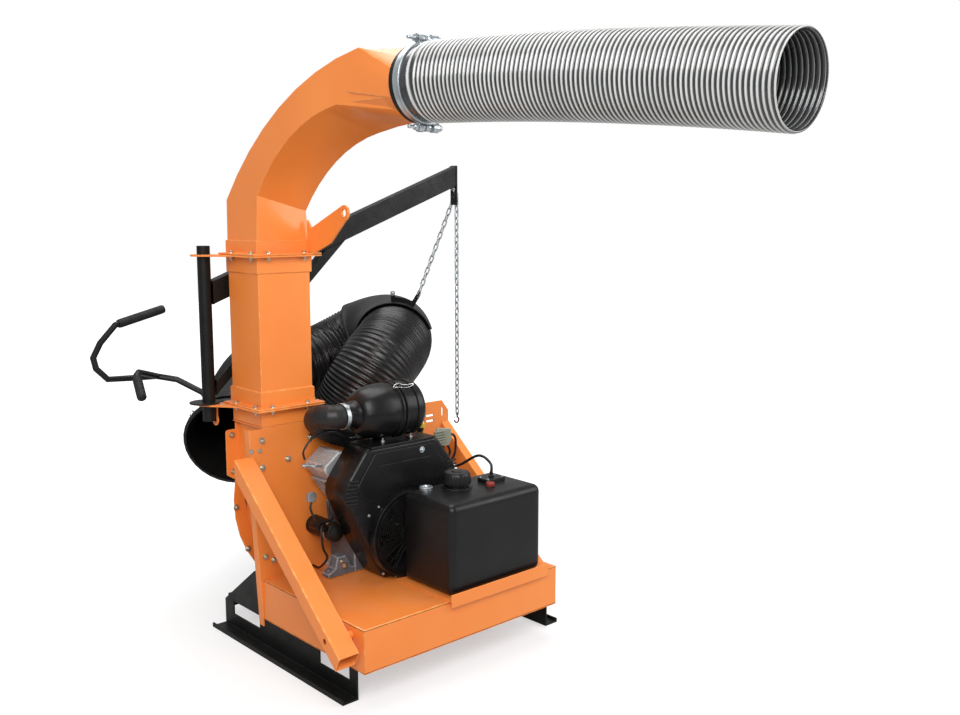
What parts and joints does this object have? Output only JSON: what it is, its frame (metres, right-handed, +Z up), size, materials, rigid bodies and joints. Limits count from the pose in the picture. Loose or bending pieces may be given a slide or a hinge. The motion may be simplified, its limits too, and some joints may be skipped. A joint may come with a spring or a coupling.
{
  "type": "skid-mounted leaf loader vacuum",
  "caption": "Orange skid-mounted leaf vacuum: V-twin engine on a steel deck, scroll blower, square duct and elbow, clear discharge hose, black intake hose on a swing boom",
  "frame": {"origin": "centre of the bounding box's underside, on the ground", "axes": "+X to the machine's right along the deck's front edge, +Y to its back, where the intake hose is, +Z up"},
  "size_m": [1.5218, 2.8436, 1.9795],
  "materials": {
    "orange_paint": "gloss powder coat",
    "black_paint": "satin powder coat",
    "black_plastic": "moulded, light grain",
    "black_rubber": "matte",
    "zinc_plate": "zinc plated",
    "cast_aluminium": "as cast",
    "bright_steel": "machined",
    "grey_hose": "clear wall with a dark helix",
    "red_plastic": "moulded"
  },
  "bodies": {
    "frame": {"air_cleaner_can": "black_plastic", "air_cleaner_cap": "black_plastic", "blower_back_plate": "orange_paint", "blower_band": "orange_paint", "blower_front_plate": "orange_paint", "blower_top_plate": "orange_paint", "brace_left": "orange_paint", "brace_right": "orange_paint", "brace_spacer_left": "orange_paint", "carburettor": "cast_aluminium", "cleaner_latch": "bright_steel", "corner_bar_left": "orange_paint", "crankcase": "cast_aluminium", "cylinder_left": "cast_aluminium", "cylinder_right": "cast_aluminium", "discharge_clamp": "zinc_plate", "discharge_duct": "orange_paint", "discharge_elbow": "orange_paint", "discharge_hose": "grey_hose", "elbow_clamp": "zinc_plate", "elbow_lug": "orange_paint", "engine_deck": "orange_paint", "fan_ring": "black_plastic", "fan_shroud": "black_plastic", "fuel_tank": "black_plastic", "grip_long": "black_rubber", "grip_short": "black_rubber", "handlebar": "black_paint", "inlet_clamp": "zinc_plate", "intake_elbow": "black_rubber", "intake_hose": "black_rubber", "intake_nozzle": "black_plastic", "muffler": "black_paint", "nozzle_clamp": "zinc_plate", "outlet_neck": "orange_paint", "rocker_cover_left": "cast_aluminium", "rocker_cover_right": "cast_aluminium", "skid_cross_front": "black_paint", "skid_cross_rear": "black_paint", "skid_rail_left": "black_paint", "skid_rail_right": "black_paint", "starter_motor": "black_paint", "storage_hook": "orange_paint", "tank_tray": "orange_paint"},
    "boom": {"mast_pole": "black_paint", "boom_arm": "black_paint", "boom_strut": "black_paint", "boom_end_plate": "black_paint", "support_chain": "zinc_plate", "saddle_hook": "zinc_plate", "hose_saddle": "black_rubber"},
    "chain": {"hanging_chain": "zinc_plate", "chain_hook": "zinc_plate"},
    "rotor": {"crankshaft": "bright_steel", "impeller": "bright_steel", "fan_screen": "black_plastic"},
    "fuel_cap": {"fuel_cap": "black_plastic"},
    "vent_cap": {"vent_cap": "red_plastic"},
    "wing_upper": {"wing_bolt_upper": "zinc_plate"},
    "wing_lower": {"wing_bolt_lower": "zinc_plate"}
  },
  "joints": [
    {"name": "boom_swing", "type": "hinge", "parent": "frame", "child": "boom", "pos_m": [-0.48736, 0.65199, 0.851], "axis": [0, 0, 1], "range_deg": [0, 60], "deforming": ["intake_hose"]},
    {"name": "chain_swing", "type": "hinge", "parent": "boom", "child": "chain", "pos_m": [0.65994, 0.65199, 1.5765], "axis": [1, 0, 0], "range_deg": [-12, 12]},
    {"name": "impeller_spin", "type": "hinge", "parent": "frame", "child": "rotor", "pos_m": [-0.03686, 0.41749, 0.412], "axis": [0, 1, 0], "continuous": true},
    {"name": "fuel_cap_turn", "type": "hinge", "parent": "frame", "child": "fuel_cap", "pos_m": [0.08814, 0.00549, 0.5746], "axis": [0, 0, 1], "continuous": true},
    {"name": "vent_cap_turn", "type": "hinge", "parent": "frame", "child": "vent_cap", "pos_m": [0.17814, -0.06651, 0.5746], "axis": [0, 0, 1], "continuous": true},
    {"name": "wing_upper_turn", "type": "hinge", "parent": "frame", "child": "wing_upper", "pos_m": [-0.41406, 0.9059, 0.76256], "axis": [-0.7578, 0.515, 0.4006], "continuous": true},
    {"name": "wing_lower_turn", "type": "hinge", "parent": "frame", "child": "wing_lower", "pos_m": [-0.4153, 0.92086, 0.73213], "axis": [-0.7654, 0.6072, 0.2132], "continuous": true}
  ]
}
